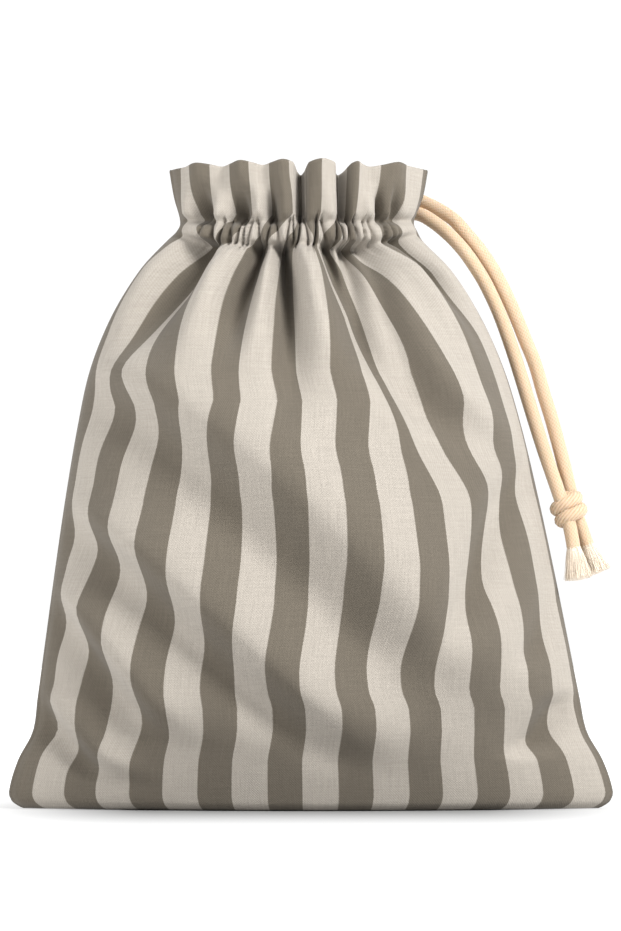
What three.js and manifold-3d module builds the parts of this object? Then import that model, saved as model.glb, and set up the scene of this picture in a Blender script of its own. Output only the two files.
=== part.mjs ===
// A drawstring gift pouch of striped cotton, standing on its flat base.
// Two panels are sewn together at the sides and along the bottom. A channel near the top is
// gathered by a cord, and the cloth above it stands up as a ruffled heading. The two ends of the
// cord leave the back of the channel, hang down the right side and are tied in one knot.
// Millimetres, +Z up, front of the pouch towards -Y, origin at the middle of the base.

import * as THREE from 'three';
import { mergeVertices } from 'three/addons/utils/BufferGeometryUtils.js';
import Module from 'manifold-3d';

// Driving dimensions
const SHEET = 2;
const SEAM_GAP = 0.3;
const CHANNEL_LOW = 237;
const CHANNEL_HIGH = 247;
const CHANNEL_BULGE = 2.2;
const STITCH_PINCH = 2.2;
const PUCKERS = 25;
const PUCKER_SPAN = 0.84;
const PUCKER_HEIGHT = 2.3;
const PUCKER_TILT = 0.2;
const PUCKER_EDGE = 0.985;
const CUSHION_ROUNDNESS = 0.7;
const CUSHION_SINK = 1.2;
const GATHER_WIDENING = 1.1;
const RUFFLE_RISE = 0.3;
const TOP = 271;
const SEAM_SHARPNESS = 20;
const SHEET_REACH = [-0.95, -0.5, 0, 0.5, 0.95];
const CORD = 6;
const KNOT_TILT = 20;

// Heights between which one form of the cloth grows into the next.
const CREASE_START = [2, 14];
const GATHER_STOP = [CHANNEL_LOW - 3, CHANNEL_LOW + 2];
const PUCKER_START = [CHANNEL_LOW - 7, CHANNEL_LOW];
const PUCKER_STOP = [CHANNEL_HIGH, CHANNEL_HIGH + 5];
const RUFFLE_START = [CHANNEL_HIGH - 3, CHANNEL_HIGH + 4];
const RUFFLE_TURN = [CHANNEL_HIGH + 2, TOP - 4];
const RUFFLE_LIFT = [CHANNEL_HIGH + 6, TOP];

// How gently the gathers fade out, the puckers end by the seams and lean, the stitch lines pull in,
// and the rows rise towards the seams.
const GATHER_FADE = 1.5;
const PUCKER_ENDS = [PUCKER_SPAN - 0.1, PUCKER_SPAN + 0.04];
const PUCKER_LEAN_END = 1.2;
const STITCH_WIDTH = 2;
const RISE_POWER = 4;

// Horizontal sections of the pouch. left and right are the side seams, depth is how far the middle
// of a panel stands off the seam plane, curl is 1 for a pointed lens and 0.5 for an ellipse. The
// rises are how far the cloth of that height lies above or below it, by the seams and in the middle.
const SECTIONS = [
  { z: 0, left: -123.5, right: 123.5, depth: 30, curl: 1, seam_rise: 0, middle_rise: 0 },
  { z: 7, left: -125.5, right: 125.5, depth: 32.5, curl: 1, seam_rise: 0, middle_rise: 0 },
  { z: 20, left: -121.5, right: 121, depth: 37, curl: 0.95, seam_rise: 0, middle_rise: 0 },
  { z: 32, left: -115, right: 114, depth: 42, curl: 0.9, seam_rise: 0, middle_rise: 0 },
  { z: 46, left: -112.8, right: 110.8, depth: 46, curl: 0.82, seam_rise: 0, middle_rise: 0 },
  { z: 70, left: -109.5, right: 106, depth: 50.5, curl: 0.74, seam_rise: 0, middle_rise: 0 },
  { z: 100, left: -105.5, right: 100, depth: 54.5, curl: 0.69, seam_rise: 0, middle_rise: 0 },
  { z: 130, left: -101.2, right: 93.6, depth: 57, curl: 0.66, seam_rise: 0, middle_rise: 0 },
  { z: 160, left: -96.2, right: 86.5, depth: 56.5, curl: 0.62, seam_rise: 0, middle_rise: 0 },
  { z: 184, left: -91, right: 79.3, depth: 52, curl: 0.58, seam_rise: 0, middle_rise: 0 },
  { z: 205, left: -82.4, right: 69.8, depth: 44, curl: 0.55, seam_rise: 0.6, middle_rise: -0.6 },
  { z: 222, left: -70.9, right: 58, depth: 35, curl: 0.53, seam_rise: 2.4, middle_rise: -1.6 },
  { z: 234, left: -59.3, right: 45.5, depth: 27, curl: 0.52, seam_rise: 3.8, middle_rise: -2.4 },
  { z: 239, left: -54.8, right: 42.9, depth: 23, curl: 0.52, seam_rise: 3.2, middle_rise: -2.6 },
  { z: 247, left: -53.2, right: 41.5, depth: 21.5, curl: 0.56, seam_rise: -0.3, middle_rise: -2.8 },
  { z: 258, left: -55.8, right: 45.2, depth: 23, curl: 0.72, seam_rise: -1.4, middle_rise: -2.9 },
  { z: 271, left: -58, right: 47.6, depth: 24, curl: 0.85, seam_rise: -2.6, middle_rise: -3 },
];

// Ruffles of the heading: how far the cloth at x stands in front of the mean line, or behind it
// where negative, just above the channel and along the top edge.
const RUFFLES = [
  { x: -58, low: 0, top: 0 },
  { x: -50, low: 2.5, top: 1.8 },
  { x: -44.5, low: -4.7, top: 4.2 },
  { x: -37, low: 4, top: -2.8 },
  { x: -28, low: -5.1, top: 4.4 },
  { x: -20.6, low: 4, top: -2.8 },
  { x: -15.6, low: -4.3, top: 2 },
  { x: -11.6, low: 2, top: 4.2 },
  { x: -8, low: 0.8, top: 3 },
  { x: -4.2, low: -9, top: -11 },
  { x: -0.8, low: 2, top: 2.8 },
  { x: 4.2, low: 2.4, top: 4.2 },
  { x: 9, low: 4, top: 3.1 },
  { x: 13, low: -8, top: -10 },
  { x: 17.4, low: 1, top: 3 },
  { x: 23.4, low: 3.8, top: -2.5 },
  { x: 27.8, low: -4.3, top: -1.2 },
  { x: 31, low: 1.4, top: 3 },
  { x: 33.6, low: -1.8, top: 4.4 },
  { x: 38, low: 2.5, top: 2.2 },
  { x: 44, low: 0, top: 0 },
];

// Folds that fall from the channel over the shoulders. Each runs from x at the lower stitch line to
// x_end at z_end, bows sideways by bow, and is wide to its left and right by the given distances.
const GATHERS = [
  { x: -50.5, x_end: -86.5, z_end: 178, bow: -3, left: 5, right: 5.5, out: 5 },
  { x: -38.2, x_end: -78, z_end: 172, bow: -1, left: 4.6, right: 3.4, out: -14 },
  { x: -29.8, x_end: -54, z_end: 168, bow: 1, left: 4.4, right: 6.6, out: 8 },
  { x: -20.8, x_end: -38, z_end: 172, bow: -1, left: 3, right: 2.8, out: -11 },
  { x: -16.2, x_end: -25, z_end: 172, bow: 1, left: 3.2, right: 3.2, out: 6 },
  { x: -11.6, x_end: -8.5, z_end: 150, bow: 1.4, left: 3, right: 3, out: -16 },
  { x: -2.4, x_end: 4, z_end: 168, bow: 1, left: 5, right: 5.6, out: 7.5 },
  { x: 6.8, x_end: 11.5, z_end: 205, bow: 0, left: 2.2, right: 2.2, out: -9 },
  { x: 10.8, x_end: 19.5, z_end: 188, bow: 1, left: 3, right: 3, out: 6 },
  { x: 15.2, x_end: 47, z_end: 126, bow: -1.5, left: 3.6, right: 3.2, out: -16 },
  { x: 19.5, x_end: 27, z_end: 206, bow: 0, left: 2, right: 2, out: 4.5 },
  { x: 27.6, x_end: 72, z_end: 165, bow: 4, left: 7, right: 3.6, out: 8.5 },
  { x: 34, x_end: 74.5, z_end: 180, bow: 4, left: 2.8, right: 3.4, out: -11 },
  { x: 39, x_end: 77, z_end: 178, bow: 4, left: 3, right: 4, out: 4.6 },
];

// Creases of the filled body, from its side seams down towards the middle, steep on one side.
const CREASES = [
  { x: -66, z: 178, x_end: 24, z_end: 94, left: 11, right: 24, out: 5 },
  { x: -95, z: 150, x_end: -38, z_end: 80, left: 7, right: 12, out: 4.6 },
  { x: -106, z: 112, x_end: -62, z_end: 44, left: 7, right: 11, out: 4.4 },
  { x: -108, z: 66, x_end: -78, z_end: 18, left: 6, right: 10, out: 3.6 },
  { x: -92, z: 172, x_end: -12, z_end: 104, left: 9, right: 13, out: -5.5 },
  { x: -106, z: 131, x_end: -38, z_end: 60, left: 8, right: 12, out: -7.5 },
  { x: -110, z: 90, x_end: -62, z_end: 30, left: 8, right: 11, out: -7 },
  { x: -114, z: 46, x_end: -80, z_end: 6, left: 7, right: 10, out: -6.5 },
  { x: 32, z: 214, x_end: 68, z_end: 122, left: 8, right: 9, out: 4.2 },
  { x: 92, z: 152, x_end: 50, z_end: 58, left: 9, right: 9, out: -9 },
  { x: 109, z: 50, x_end: 86, z_end: 20, left: 8, right: 9, out: -7 },
  { x: 106, z: 96, x_end: 84, z_end: 56, left: 8, right: 9, out: -3 },
  { x: 40, z: 100, x_end: 8, z_end: 22, left: 16, right: 18, out: 2.6 },
];

// Unevenness of the puckers' pitch, in waves along the channel.
const PUCKER_DRIFT = [
  { share: 0.3, rate: 14, start: 0 },
  { share: 0.16, rate: 31, start: 1 },
];

// The back panel hangs in the same kind of folds, flatter and mirrored.
const BACK_FOLDS = -1;
const BACK_RELIEF = 0.8;

// Rows of the panels' meshes, from the bottom seam up: how many columns each has.
const BASE_ROWS = [
  { inward: 1, columns: 24 },
  { inward: 0.5, columns: 26 },
];
const WALL_ROWS = [
  { z: 0, columns: 30 },
  { z: 5, columns: 32 },
  { z: 12, columns: 32 },
  { z: 20, columns: 32 },
  { z: 28, columns: 32 },
  { z: 37, columns: 32 },
  { z: 46, columns: 32 },
  { z: 55, columns: 34 },
  { z: 64, columns: 34 },
  { z: 73, columns: 34 },
  { z: 82, columns: 34 },
  { z: 91, columns: 34 },
  { z: 100, columns: 34 },
  { z: 109, columns: 36 },
  { z: 118, columns: 36 },
  { z: 127, columns: 36 },
  { z: 137, columns: 36 },
  { z: 147, columns: 40 },
  { z: 157, columns: 42 },
  { z: 168, columns: 46 },
  { z: 181, columns: 52 },
  { z: 194, columns: 58 },
  { z: 206, columns: 64 },
  { z: 216, columns: 70 },
  { z: 224, columns: 74 },
  { z: 230, columns: 78 },
  { z: 234, columns: 80 },
];
const CHANNEL_ROWS = [236.8, 239.5, 242, 244.5, 247.2];
const HEADING_ROWS = [
  { z: 250, columns: 76 },
  { z: 255, columns: 72 },
  { z: 261, columns: 72 },
  { z: 266, columns: 72 },
  { z: 271, columns: 72 },
];
const BACK_COLUMNS = 0.62;
const PUCKER_COLUMNS = { front: 4, back: 2 };

// Routes of the two strands, from the back of the channel to the knot.
const INNER_ROUTE = [
  [26, 22.2, 243.4], [27, 27.6, 244.6], [31, 31, 249], [38, 28, 252.6], [45.6, 21.5, 252.2],
  [51.5, 17, 248.7], [58.4, 13.2, 242.6], [64.2, 10.6, 236.1], [68.6, 9, 229.8], [73.5, 7.4, 221.6],
  [79.2, 5.6, 209.2], [84.4, 4, 194.6], [88.7, 2.6, 180.7], [93.3, 1.2, 165.2], [97.6, -0.4, 151.1],
  [100.7, -1.6, 141.7], [104.3, -2.5, 131],
];
const OUTER_ROUTE = [
  [18, 24.3, 243.4], [19.4, 29.6, 245.2], [24.5, 34, 252.4], [32.5, 33.4, 258.4], [40, 30, 259.8],
  [47.5, 26, 258], [59.9, 18.9, 250.2], [66, 15.6, 243.2], [71.5, 13.2, 236.2], [76.9, 11.2, 227.9],
  [81.8, 9.4, 218.3], [86, 7.8, 208.8], [90.6, 6.2, 197], [94.6, 4.8, 186.7], [98, 3.8, 174.6],
  [101.3, 3, 163.7], [104.7, 2.5, 151], [107, 2.4, 141.8], [109.1, 2.6, 132.3],
];
const ROUTE_STEPS = 24;
const ROPE_SIDES = 10;

// The knot: two turns of cord, one above the other, round a filled middle.
const KNOT_TURNS = [
  { x: 107.3, z: 127.6, across: 4.6, deep: 3.6 },
  { x: 109.2, z: 122.8, across: 4.3, deep: 3.6 },
];
const KNOT_CORE = { x: 108.3, across: 4.4, deep: 3.4, top: 130, bottom: 120.4 };

// The frayed ends: a stub of cord that opens into a brush.
const TAILS = [
  { node: 'cord_tail_front', from: [108.3, -2.6, 118.6], to: [110.3, -2.8, 108], brush: 13.4, spread: 0.24 },
  { node: 'cord_tail_side', from: [112.9, 3.2, 120.1], to: [116.6, 3.6, 109.6], brush: 12.6, spread: 0.24 },
];
const BRUSH_STRANDS = 28;
const STRAND_WIDTH = 0.65;
const STRAND_ROOT = 2.6;
const STRAND_TAPER = 0.35;
const STRAND_INSET = 0.7;
const STRAND_UNEVEN = 0.1;
const BRUSH_ROUNDING = 0.06;

const smooth = (t) => t * t * (3 - 2 * t);
const clamp01 = (t) => Math.min(1, Math.max(0, t));
const ramp = (value, from, to) => smooth(clamp01((value - from) / (to - from)));

// Smooth reading of one column of SECTIONS at any height.
function section(z, column) {
  const last = SECTIONS.length - 1;
  let i = 0;
  while (i < last - 1 && SECTIONS[i + 1].z < z) i += 1;
  const slope = (k) => {
    const a = SECTIONS[Math.max(0, k - 1)];
    const b = SECTIONS[Math.min(last, k + 1)];
    return (b[column] - a[column]) / (b.z - a.z);
  };
  const low = SECTIONS[i];
  const high = SECTIONS[i + 1];
  const span = high.z - low.z;
  const t = clamp01((z - low.z) / span);
  const rise = high[column] - low[column];
  const start = slope(i) * span;
  const end = slope(i + 1) * span;
  return low[column] + t * start + t * t * (3 * rise - 2 * start - end) + t ** 3 * (start + end - 2 * rise);
}

// A soft ridge or trough across a row, as wide on each side as given.
function bump(distance, left, right) {
  const width = distance < 0 ? left : right;
  return Math.exp(-((distance / width) ** 2));
}

function ruffleRelief(x, z) {
  let i = 0;
  while (i < RUFFLES.length - 2 && RUFFLES[i + 1].x < x) i += 1;
  const a = RUFFLES[i];
  const b = RUFFLES[i + 1];
  const t = ramp(x, a.x, b.x);
  const low = a.low + (b.low - a.low) * t;
  const top = a.top + (b.top - a.top) * t;
  const up = ramp(z, ...RUFFLE_TURN);
  return ramp(z, ...RUFFLE_START) * (low + (top - low) * up);
}

function gatherRelief(x, z) {
  const strength = 1 - ramp(z, ...GATHER_STOP);
  let relief = 0;
  for (const fold of GATHERS) {
    const t = clamp01((CHANNEL_LOW - z) / (CHANNEL_LOW - fold.z_end));
    const middle = fold.x + (fold.x_end - fold.x) * t + fold.bow * 4 * t * (1 - t);
    const widen = 1 + GATHER_WIDENING * t;
    const fade = (1 - t * t) ** GATHER_FADE;
    relief += fold.out * fade * bump(x - middle, fold.left * widen, fold.right * widen);
  }
  return strength * relief;
}

function creaseRelief(x, z) {
  let relief = 0;
  for (const crease of CREASES) {
    const t = (crease.z - z) / (crease.z - crease.z_end);
    if (t > 0 && t < 1) {
      const middle = crease.x + (crease.x_end - crease.x) * t;
      relief += crease.out * Math.sin(Math.PI * t) * bump(x - middle, crease.left, crease.right);
    }
  }
  return relief;
}

// Puckers of the channel are counted along a row, uneven in pitch, and lean to either side in turn;
// s runs from -1 to 1.
function puckerCount(s, z) {
  let count = (PUCKERS * (s + PUCKER_SPAN)) / (2 * PUCKER_SPAN);
  for (const wave of PUCKER_DRIFT) count += wave.share * Math.sin(wave.rate * s + wave.start);
  const up = (2 * (z - CHANNEL_LOW)) / (CHANNEL_HIGH - CHANNEL_LOW) - 1;
  const lean = Math.min(PUCKER_LEAN_END, Math.max(-PUCKER_LEAN_END, up));
  return count + PUCKER_TILT * lean * Math.cos(Math.PI * count);
}

function channelRelief(s, z) {
  const inside = ramp(z, ...PUCKER_START) * (1 - ramp(z, ...PUCKER_STOP));
  const along = 1 - ramp(Math.abs(s), ...PUCKER_ENDS);
  const across = clamp01((z - CHANNEL_LOW) / (CHANNEL_HIGH - CHANNEL_LOW));
  const tube = CHANNEL_BULGE * Math.sin(Math.PI * across);
  const stitch = (line) => bump(z - line, STITCH_WIDTH, STITCH_WIDTH);
  const pinch = STITCH_PINCH * (stitch(CHANNEL_LOW) + stitch(CHANNEL_HIGH));
  const cushion = 2 * Math.abs(Math.sin(Math.PI * puckerCount(s, z))) ** CUSHION_ROUNDNESS - CUSHION_SINK;
  return tube - pinch + inside * PUCKER_HEIGHT * along * cushion;
}

// The cloth's relief at a place across a row: s is -1 at the left seam and 1 at the right one.
function relief(s, z, side) {
  const folds = side < 0 ? s : BACK_FOLDS * s;
  const scale = side < 0 ? 1 : BACK_RELIEF;
  const left = section(z, 'left');
  const right = section(z, 'right');
  const x = (left + right) / 2 + (folds * (right - left)) / 2;
  const body = gatherRelief(x, z) + creaseRelief(x, z) * ramp(z, ...CREASE_START) + ruffleRelief(x, z);
  return (1 - Math.abs(s) ** SEAM_SHARPNESS) * (scale * body + channelRelief(folds, z));
}

// Relief of the inner face, which keeps the sheet's thickness also where a fold is steep.
function innerRelief(s, z, side, reach) {
  let lowest = Infinity;
  for (const along of SHEET_REACH) {
    for (const up of SHEET_REACH) {
      const far = along * along + up * up;
      if (far < 1) {
        const at = Math.min(1, Math.max(-1, s + along * reach));
        const height = Math.min(TOP, Math.max(0, z + up * SHEET));
        const here = relief(at, height, side) + SHEET * (1 - Math.sqrt(1 - far));
        lowest = Math.min(lowest, here);
      }
    }
  }
  return lowest;
}

// Inner face of a row without relief, and its outward direction.
function bareRow(s, z) {
  const left = section(z, 'left');
  const right = section(z, 'right');
  const x = (left + right) / 2 + (s * (right - left)) / 2;
  const y = section(z, 'depth') * (1 - s * s) ** section(z, 'curl');
  return [x, y];
}

function wallPoint(angle, z, side) {
  const s = Math.sin(angle);
  const step = 0.04;
  const [x, y] = bareRow(s, z);
  const [xa, ya] = bareRow(Math.sin(Math.max(-Math.PI / 2, angle - step)), z);
  const [xb, yb] = bareRow(Math.sin(Math.min(Math.PI / 2, angle + step)), z);
  const length = Math.hypot(xb - xa, yb - ya);
  const nx = (ya - yb) / length;
  const ny = (xb - xa) / length;
  const out = relief(s, z, side);
  const reach = (2 * SHEET * ny) / (section(z, 'right') - section(z, 'left'));
  const middleRise = section(z, 'middle_rise');
  const rise = middleRise + (section(z, 'seam_rise') - middleRise) * s ** RISE_POWER;
  const lift = rise + RUFFLE_RISE * out * ramp(z, ...RUFFLE_LIFT);
  const place = (offset, height) => new THREE.Vector3(
    x + nx * offset,
    side * (SEAM_GAP / 2 + Math.max(0, y + ny * offset)),
    height,
  );
  return {
    outer: place(out + SHEET, z + lift),
    inner: place(innerRelief(s, z, side, reach), Math.max(z, SHEET) + lift),
  };
}

// Floor of the pouch: the panel turns under to the bottom seam, which lies in the seam plane.
function floorPoint(angle, inward, side) {
  const edge = wallPoint(angle, 0, side);
  const seam = (side * SEAM_GAP) / 2;
  const pull = (point) => new THREE.Vector3(point.x, seam + (point.y - seam) * (1 - inward), point.z);
  return { outer: pull(edge.outer), inner: pull(edge.inner) };
}

function evenAngles(count) {
  return Array.from({ length: count + 1 }, (_, i) => -Math.PI / 2 + (Math.PI * i) / count);
}

// Columns of a channel row: one by each seam and a few to each pucker between.
function puckerAngles(z, each) {
  const angles = [-Math.PI / 2];
  const fine = 4000;
  let next = Math.ceil(each * puckerCount(-1, z) + each / 2);
  for (let i = 0; i <= fine; i += 1) {
    const s = PUCKER_EDGE * ((2 * i) / fine - 1);
    if (each * puckerCount(s, z) >= next) {
      angles.push(Math.asin(s));
      next += 1;
    }
  }
  angles.push(Math.PI / 2);
  return angles;
}

function panelRows(side) {
  const share = side < 0 ? 1 : BACK_COLUMNS;
  const columns = (row) => evenAngles(Math.round(row.columns * share));
  const each = side < 0 ? PUCKER_COLUMNS.front : PUCKER_COLUMNS.back;
  const rows = [];
  const add = (angles, makePoint) => rows.push(angles.map((angle) => ({ angle, ...makePoint(angle) })));
  for (const row of BASE_ROWS) add(columns(row), (angle) => floorPoint(angle, row.inward, side));
  for (const row of WALL_ROWS) add(columns(row), (angle) => wallPoint(angle, row.z, side));
  for (const z of CHANNEL_ROWS) add(puckerAngles(z, each), (angle) => wallPoint(angle, z, side));
  for (const row of HEADING_ROWS) add(columns(row), (angle) => wallPoint(angle, row.z, side));
  return rows;
}

// Closed sheet from rows of outer and inner points. Neighbouring rows may differ in columns.
function sheetGeometry(rows, side) {
  const positions = [];
  const index = [];
  const keep = (point) => {
    positions.push(point.x, point.y, point.z);
    return positions.length / 3 - 1;
  };
  const face = (a, b, c) => (side < 0 ? index.push(a, b, c) : index.push(a, c, b));
  const outer = rows.map((row) => row.map((place) => keep(place.outer)));
  const inner = rows.map((row) => row.map((place) => keep(place.inner)));
  for (let r = 0; r < rows.length - 1; r += 1) {
    const low = rows[r];
    const high = rows[r + 1];
    let i = 0;
    let j = 0;
    while (i < low.length - 1 || j < high.length - 1) {
      const lowNext = i < low.length - 1 ? low[i + 1].angle : Infinity;
      const highNext = j < high.length - 1 ? high[j + 1].angle : Infinity;
      if (lowNext <= highNext) {
        face(outer[r][i], outer[r][i + 1], outer[r + 1][j]);
        face(inner[r][i], inner[r + 1][j], inner[r][i + 1]);
        i += 1;
      } else {
        face(outer[r][i], outer[r + 1][j + 1], outer[r + 1][j]);
        face(inner[r][i], inner[r + 1][j], inner[r + 1][j + 1]);
        j += 1;
      }
    }
    const lowEnd = low.length - 1;
    const highEnd = high.length - 1;
    face(outer[r][0], outer[r + 1][0], inner[r + 1][0]);
    face(outer[r][0], inner[r + 1][0], inner[r][0]);
    face(outer[r][lowEnd], inner[r + 1][highEnd], outer[r + 1][highEnd]);
    face(outer[r][lowEnd], inner[r][lowEnd], inner[r + 1][highEnd]);
  }
  const rim = (r, upwards) => {
    for (let i = 0; i < rows[r].length - 1; i += 1) {
      const [a, b, c, d] = [outer[r][i], outer[r][i + 1], inner[r][i + 1], inner[r][i]];
      if (upwards) {
        face(a, b, c);
        face(a, c, d);
      } else {
        face(a, c, b);
        face(a, d, c);
      }
    }
  };
  rim(0, false);
  rim(rows.length - 1, true);
  const geometry = new THREE.BufferGeometry();
  geometry.setAttribute('position', new THREE.Float32BufferAttribute(positions, 3));
  geometry.setIndex(index);
  geometry.computeVertexNormals();
  return geometry;
}

function ropeGeometry(route) {
  const path = new THREE.CatmullRomCurve3(route.map((point) => new THREE.Vector3(...point)));
  const outline = [];
  for (let i = 0; i < ROPE_SIDES; i += 1) {
    const turn = (2 * Math.PI * i) / ROPE_SIDES;
    outline.push(new THREE.Vector2((CORD / 2) * Math.cos(turn), (CORD / 2) * Math.sin(turn)));
  }
  return new THREE.ExtrudeGeometry(new THREE.Shape(outline), { steps: ROUTE_STEPS, extrudePath: path });
}

const wasm = await Module();
wasm.setup();

function toSolid(geometry) {
  const bare = geometry.clone();
  bare.deleteAttribute('normal');
  bare.deleteAttribute('uv');
  const merged = mergeVertices(bare, 1e-4);
  return new wasm.Manifold(new wasm.Mesh({
    numProp: 3,
    vertProperties: new Float32Array(merged.attributes.position.array),
    triVerts: new Uint32Array(merged.index.array),
  }));
}

function toGeometry(solid) {
  const mesh = solid.getMesh();
  const geometry = new THREE.BufferGeometry();
  geometry.setAttribute('position', new THREE.BufferAttribute(new Float32Array(mesh.vertProperties), 3));
  geometry.setIndex(new THREE.BufferAttribute(new Uint32Array(mesh.triVerts), 1));
  geometry.computeVertexNormals();
  return geometry;
}

function knotGeometry() {
  const coreHeight = KNOT_CORE.top - KNOT_CORE.bottom;
  const core = new THREE.CylinderGeometry(1, 1, coreHeight, 16)
    .rotateX(Math.PI / 2)
    .scale(KNOT_CORE.across, KNOT_CORE.deep, 1)
    .translate(KNOT_CORE.x, 0, (KNOT_CORE.top + KNOT_CORE.bottom) / 2);
  let solid = toSolid(core);
  for (const turn of KNOT_TURNS) {
    const ring = new THREE.TorusGeometry(turn.across, CORD / 2, 10, 24)
      .scale(1, (turn.deep + CORD / 2) / (turn.across + CORD / 2), 1)
      .rotateY(-THREE.MathUtils.degToRad(KNOT_TILT))
      .translate(turn.x, 0, turn.z);
    solid = solid.add(toSolid(ring));
  }
  return toGeometry(solid);
}

// One thread of a brush, three-sided and tapering, from root to tip.
function threadGeometry(root, tip) {
  const length = root.distanceTo(tip);
  const along = new THREE.Quaternion().setFromUnitVectors(
    new THREE.Vector3(0, 1, 0),
    tip.clone().sub(root).normalize(),
  );
  return new THREE.CylinderGeometry(STRAND_WIDTH * STRAND_TAPER, STRAND_WIDTH, length, 3)
    .translate(0, length / 2, 0)
    .applyQuaternion(along)
    .translate(root.x, root.y, root.z);
}

function tailGeometry(tail) {
  const from = new THREE.Vector3(...tail.from);
  const to = new THREE.Vector3(...tail.to);
  const along = to.clone().sub(from).normalize();
  const side = new THREE.Vector3(0, 1, 0).cross(along).normalize();
  const front = along.clone().cross(side);
  const stub = new THREE.CylinderGeometry(CORD / 2, CORD / 2, from.distanceTo(to), ROPE_SIDES)
    .applyQuaternion(new THREE.Quaternion().setFromUnitVectors(new THREE.Vector3(0, 1, 0), along))
    .translate((from.x + to.x) / 2, (from.y + to.y) / 2, (from.z + to.z) / 2);
  let solid = toSolid(stub);
  const golden = Math.PI * (3 - Math.sqrt(5));
  for (let i = 0; i < BRUSH_STRANDS; i += 1) {
    const reach = Math.sqrt((i + 0.5) / BRUSH_STRANDS);
    const turn = golden * i;
    const off = side.clone().multiplyScalar(Math.cos(turn)).addScaledVector(front, Math.sin(turn));
    const spot = (CORD / 2 - STRAND_INSET) * reach;
    const root = to.clone().addScaledVector(along, -STRAND_ROOT).addScaledVector(off, spot);
    const uneven = 1 - STRAND_UNEVEN * (1 - Math.sin(5 * i));
    const length = tail.brush * uneven * (1 - BRUSH_ROUNDING * reach);
    const tip = to.clone()
      .addScaledVector(along, length)
      .addScaledVector(off, spot + tail.spread * length * reach);
    solid = solid.add(toSolid(threadGeometry(root, tip)));
  }
  return toGeometry(solid);
}

const clothLook = new THREE.MeshStandardMaterial({ color: 0xa49b8c, roughness: 0.92, metalness: 0 });
const cordLook = new THREE.MeshStandardMaterial({ color: 0xe9d2b6, roughness: 0.9, metalness: 0 });

const pouch = new THREE.Group();

function fit(name, geometry, material) {
  const mesh = new THREE.Mesh(geometry, material.clone());
  mesh.name = name;
  pouch.add(mesh);
}

fit('front_panel', sheetGeometry(panelRows(-1), -1), clothLook);
fit('back_panel', sheetGeometry(panelRows(1), 1), clothLook);
fit('cord_inner', ropeGeometry(INNER_ROUTE), cordLook);
fit('cord_outer', ropeGeometry(OUTER_ROUTE), cordLook);
fit('cord_knot', knotGeometry(), cordLook);
for (const tail of TAILS) fit(tail.node, tailGeometry(tail), cordLook);

export default pouch;
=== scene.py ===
import math

import bpy
import numpy as np
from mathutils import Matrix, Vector


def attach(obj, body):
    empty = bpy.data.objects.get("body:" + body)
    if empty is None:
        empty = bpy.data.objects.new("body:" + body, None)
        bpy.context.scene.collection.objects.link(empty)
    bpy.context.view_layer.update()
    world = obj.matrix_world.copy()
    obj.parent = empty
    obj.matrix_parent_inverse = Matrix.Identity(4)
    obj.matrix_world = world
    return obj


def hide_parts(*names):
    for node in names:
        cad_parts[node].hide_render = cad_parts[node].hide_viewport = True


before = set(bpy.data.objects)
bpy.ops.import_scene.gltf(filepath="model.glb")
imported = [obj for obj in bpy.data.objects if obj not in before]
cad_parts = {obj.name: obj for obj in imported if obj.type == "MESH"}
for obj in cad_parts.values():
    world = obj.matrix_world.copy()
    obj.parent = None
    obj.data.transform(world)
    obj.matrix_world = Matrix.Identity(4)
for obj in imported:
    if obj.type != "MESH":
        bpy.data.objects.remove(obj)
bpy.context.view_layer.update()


# Front and back of the pouch: two cuts of thin striped cotton, sewn together at both sides and along the
# bottom. A row at one height is a bow from seam to seam, and the folds of the filled and gathered cloth
# push it out or in. All sizes are in mm.
MM = 0.001
CUT_WIDTH = 260.0
CHANNEL_LOW, CHANNEL_HIGH, HEM, TOP = 237.0, 247.0, 270.0, 271.0
# The outer face lies SHEET outside the bow, and the cloth is CLOTH thick. The panels are pinched together
# at the seams, where the folds die out, turned under at the bottom and rounded at the hem.
SHEET, CLOTH = 2.0, 1.0
SEAM_GAP, SEAM_PINCH, SEAM_FADE = 0.02, 2.2, 20
BASE_FOLD, BASE_TURN = 3.4, 2.8
HEM_TURNS = (0.45, -0.4)
BACK_RELIEF = 0.8
# The bow at each height: its ends, how far it stands out, how sharply it runs into its ends, and how far
# its ends and its middle are lifted.
SECTIONS = {
    "z": [0, 3, 7, 20, 32, 46, 70, 100, 130, 160, 184, 205, 222, 234, 239, 247, 258, 271],
    "left": [-120.8, -124.4, -125.6, -121.5, -115, -112.8, -109.5, -105.5, -101.2, -96.2, -91, -82.4, -70.9,
             -59.3, -54.8, -53.2, -55.8, -58],
    "right": [120.8, 124.4, 125.6, 121, 114, 110.8, 106, 100, 93.6, 86.5, 79.3, 69.8, 58,
              45.5, 42.9, 41.5, 45.2, 47.6],
    "depth": [30, 31.2, 32.5, 37, 42, 46, 50.5, 54.5, 57, 56.5, 52, 44, 35, 27, 23, 21.5, 23, 24],
    "curl": [1, 1, 1, 0.95, 0.9, 0.82, 0.74, 0.69, 0.66, 0.62, 0.58, 0.55, 0.53, 0.52, 0.52, 0.56,
             0.72, 0.85],
    "seam_rise": [0, 0, 0, 0, 0, 0, 0, 0, 0, 0, 0, 0.6, 2.4, 3.8, 3.2, -0.3, -1.4, -2.6],
    "middle_rise": [0, 0, 0, 0, 0, 0, 0, 0, 0, 0, 0, -0.6, -1.6, -2.4, -2.6, -2.8, -2.9, -3],
}


def ramp(value, start, end):
    t = np.clip((value - start) / (end - start), 0, 1)
    return t * t * (3 - 2 * t)


def even_slopes(at, values):
    """Slope at each place of a table, from its neighbours on both sides."""
    place = np.arange(len(at))
    before, after = np.maximum(place - 1, 0), np.minimum(place + 1, len(at) - 1)
    return (values[after] - values[before]) / (at[after] - at[before])


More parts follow.
